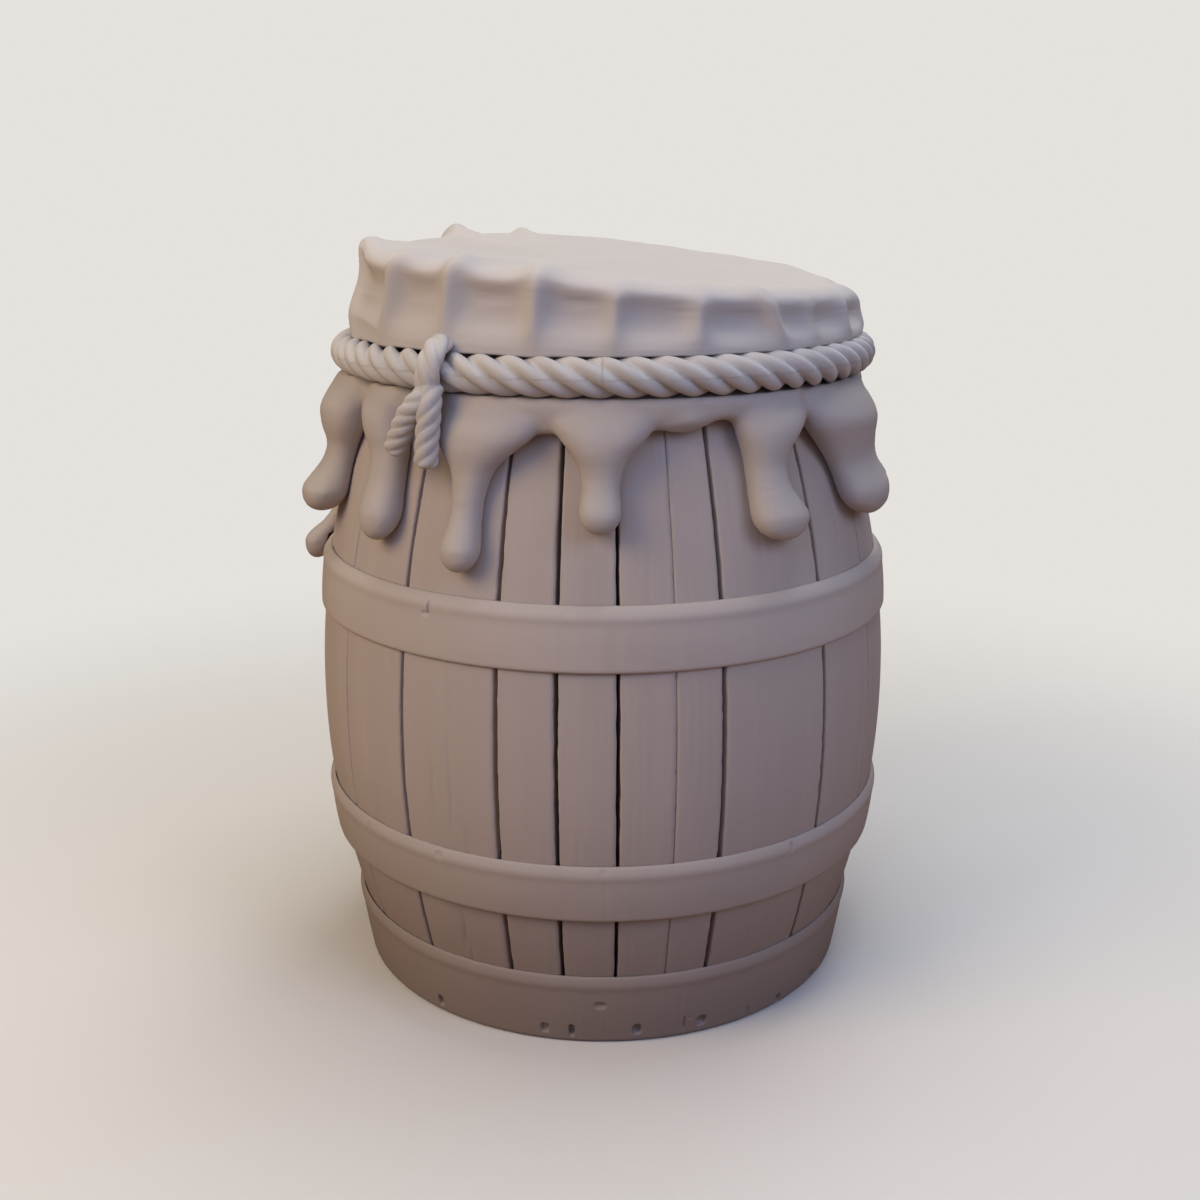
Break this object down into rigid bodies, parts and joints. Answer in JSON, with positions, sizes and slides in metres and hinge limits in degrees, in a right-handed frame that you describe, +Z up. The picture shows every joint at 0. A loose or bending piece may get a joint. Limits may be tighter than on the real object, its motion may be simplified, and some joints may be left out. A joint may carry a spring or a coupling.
{
  "type": "barrel",
  "caption": "Bulging wooden keg with hooped staves, a wax-sealed mouth and a plank lid under a roped, pleated cloth cover that lifts off.",
  "frame": {"origin": "centre of the base, on the floor", "axes": "+Z up along the keg's axis, -Y the front as pictured, +X to the right of it"},
  "size_m": [0.3857, 0.367, 0.4728],
  "materials": {
    "stave_wood": "matt, planed, with fine grain and open seams",
    "board_wood": "matt, sawn",
    "hoop_iron": "matt, dull, with small dents",
    "nail_iron": "matt, forged",
    "seal_wax": "smooth, soft satin",
    "cover_cloth": "matt, thick, finely creased",
    "rope_hemp": "matt, laid from three strands"
  },
  "bodies": {
    "keg": {"stave_01": "stave_wood", "stave_02": "stave_wood", "stave_03": "stave_wood", "stave_04": "stave_wood", "stave_05": "stave_wood", "stave_06": "stave_wood", "stave_07": "stave_wood", "stave_08": "stave_wood", "stave_09": "stave_wood", "stave_10": "stave_wood", "stave_11": "stave_wood", "stave_12": "stave_wood", "stave_13": "stave_wood", "stave_14": "stave_wood", "stave_15": "stave_wood", "stave_16": "stave_wood", "stave_17": "stave_wood", "stave_18": "stave_wood", "stave_19": "stave_wood", "stave_20": "stave_wood", "stave_21": "stave_wood", "stave_22": "stave_wood", "bottom_board_1": "board_wood", "bottom_board_2": "board_wood", "bottom_board_3": "board_wood", "bottom_board_4": "board_wood", "bottom_board_5": "board_wood", "bottom_dowels": "board_wood", "bottom_hoop": "hoop_iron", "lower_middle_hoop": "hoop_iron", "upper_middle_hoop": "hoop_iron", "top_hoop": "hoop_iron", "hoop_rivets": "nail_iron", "wax_collar": "seal_wax", "wax_run_01": "seal_wax", "wax_run_02": "seal_wax", "wax_run_03": "seal_wax", "wax_run_04": "seal_wax", "wax_run_05": "seal_wax", "wax_run_06": "seal_wax", "wax_run_07": "seal_wax", "wax_run_08": "seal_wax", "wax_run_09": "seal_wax", "wax_run_10": "seal_wax", "wax_run_11": "seal_wax", "wax_run_12": "seal_wax"},
    "cover": {"lid_board_1": "board_wood", "lid_board_2": "board_wood", "lid_board_3": "board_wood", "lid_board_4": "board_wood", "lid_board_5": "board_wood", "lid_batten_front": "board_wood", "lid_batten_back": "board_wood", "lid_nails": "nail_iron", "cloth_cover": "cover_cloth", "rope": "rope_hemp", "rope_knot": "rope_hemp", "rope_tail_left": "rope_hemp", "rope_tail_right": "rope_hemp"}
  },
  "joints": [
    {"name": "cover_lift", "type": "slide", "parent": "keg", "child": "cover", "axis": [0, 0, 1], "range_m": [0, 0.15]}
  ]
}
